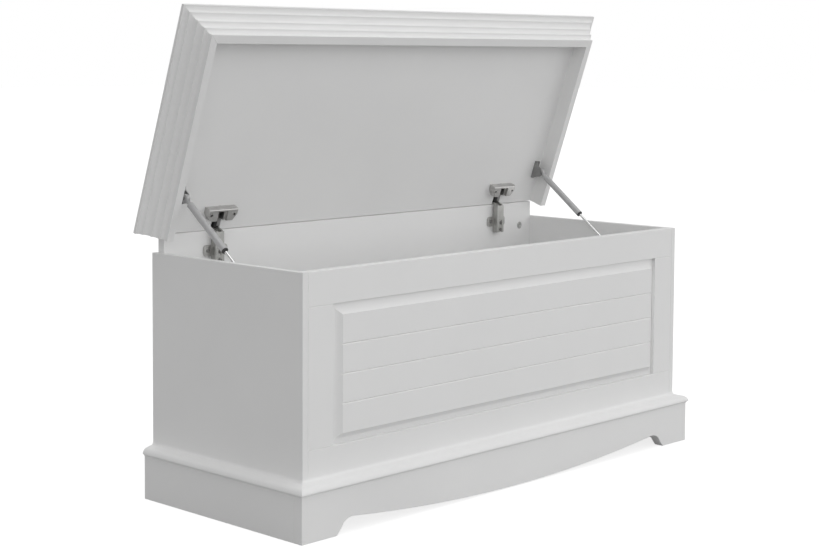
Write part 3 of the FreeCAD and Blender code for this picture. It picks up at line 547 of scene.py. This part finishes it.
for side in ("left", "right"):
    detailed_arm(side)
    for name, width in FITTING_EDGES.items():
        node = side + "_" + name
        fitting = welded_copy(node, node + "_eased")
        if name == "hinge_cup":
            soften_edge(fitting, towards=(0.0, -0.9, 0.44), shortest=40 * MM, width=3.2 * MM, segments=6)
        if name == "strut_upper_eye":
            fuller_eye(fitting, pivot_of[side + "_strut_turn"])
        ease_edges(fitting, width * MM, FITTING_SEGMENTS)
        seat(fitting, node)
        if name == "strut_upper_eye":
            dress(fitting, finishes["strut_paint"])
    node = side + "_hinge_pin"
    pin = welded_copy(node, node + "_riveted")
    ease_edges(pin, PIN_EDGE, FITTING_SEGMENTS)
    seat(pin, node)
    dress(pin, finishes["dark_link"])


# Stage: a pale floor that reads as the photograph's white ground and keeps the chest's shadow


def photo_ground(name, tint, glow):
    """Plain matt ground. Camera and mirror rays see it lit up towards white, and it lights nothing else."""
    f = Finish(name)
    f.shader.inputs["Base Color"].default_value = (*tint, 1.0)
    f.shader.inputs["Roughness"].default_value = 0.9
    f.shader.inputs["Specular IOR Level"].default_value = 0.0
    seen = f.add("ShaderNodeLightPath")
    either = f.add("ShaderNodeMath", operation="MAXIMUM")
    f.join(seen, "Is Camera Ray", either, 0)
    f.join(seen, "Is Glossy Ray", either, 1)
    shine = f.add("ShaderNodeEmission")
    shine.inputs["Color"].default_value = WHITE
    glow_share = f.add("ShaderNodeMath", operation="MULTIPLY")
    glow_share.inputs[1].default_value = glow
    f.join(either, "Value", glow_share, 0)
    f.join(glow_share, "Value", shine, "Strength")
    both = f.add("ShaderNodeAddShader")
    f.join(f.shader, "BSDF", both, 0)
    f.join(shine, "Emission", both, 1)
    f.join(both, "Shader", f.out, "Surface")
    return f.material


clear_selection()
bpy.ops.mesh.primitive_plane_add(size=FLOOR_SIZE, location=(0.0, 0.0, 0.0))
floor = bpy.context.object
floor.name = "photo_floor"
dress(floor, photo_ground("photo_ground", GROUND_TINT, GROUND_GLOW))

# World: soft light from every side, seen as white by the camera
world = bpy.data.worlds.new("studio")
bpy.context.scene.world = world
world.use_nodes = True
sky = world.node_tree
sky.nodes.clear()


def background(strength):
    shade = sky.nodes.new("ShaderNodeBackground")
    shade.inputs["Color"].default_value = WHITE
    shade.inputs["Strength"].default_value = strength
    return shade


sky_out = sky.nodes.new("ShaderNodeOutputWorld")
room = background(ROOM_STRENGTH)
backdrop = background(1.0)
path = sky.nodes.new("ShaderNodeLightPath")
shown = sky.nodes.new("ShaderNodeMath")
shown.operation = "MAXIMUM"
choose = sky.nodes.new("ShaderNodeMixShader")
sky.links.new(path.outputs["Is Camera Ray"], shown.inputs[0])
sky.links.new(path.outputs["Is Transmission Ray"], shown.inputs[1])
sky.links.new(shown.outputs["Value"], choose.inputs[0])
sky.links.new(room.outputs["Background"], choose.inputs[1])
sky.links.new(backdrop.outputs["Background"], choose.inputs[2])
sky.links.new(choose.outputs["Shader"], sky_out.inputs["Surface"])


def soft_sun(name, towards, strength):
    """A wide, soft lamp, like a window or a large soft box far away."""
    bpy.ops.object.light_add(type="SUN", location=LAMP_PLACE)
    lamp = bpy.context.object
    lamp.name = name
    lamp.data.energy = strength
    lamp.data.angle = LAMP_SPREAD
    lamp.rotation_mode = "QUATERNION"
    lamp.rotation_quaternion = Vector(towards).to_track_quat("Z", "Y")


for name, (towards, strength) in LAMPS.items():
    soft_sun(name, towards, strength)

# Camera at the photograph's place and angle
bpy.ops.object.camera_add(location=EYE)
camera = bpy.context.object
camera.name = "photo_camera"
aim = Matrix.Rotation(-YAW, 4, "Z") @ Matrix.Rotation(math.pi / 2 + PITCH, 4, "X")
camera.matrix_world = Matrix.Translation(EYE) @ (aim @ Matrix.Rotation(ROLL, 4, "Z"))
camera.data.sensor_fit = "HORIZONTAL"
camera.data.sensor_width = SENSOR_WIDTH_MM
camera.data.lens = FOCAL_PIXELS / PHOTO_WIDTH * SENSOR_WIDTH_MM
camera.data.shift_x = (PHOTO_WIDTH / 2 - AXIS_PIXEL_X) / PHOTO_WIDTH
camera.data.shift_y = (AXIS_PIXEL_Y - PHOTO_HEIGHT / 2) / PHOTO_WIDTH
camera.data.clip_start = CLIP_START
camera.data.clip_end = CLIP_END
bpy.context.scene.camera = camera
bpy.context.scene.view_settings.view_transform = "Standard"
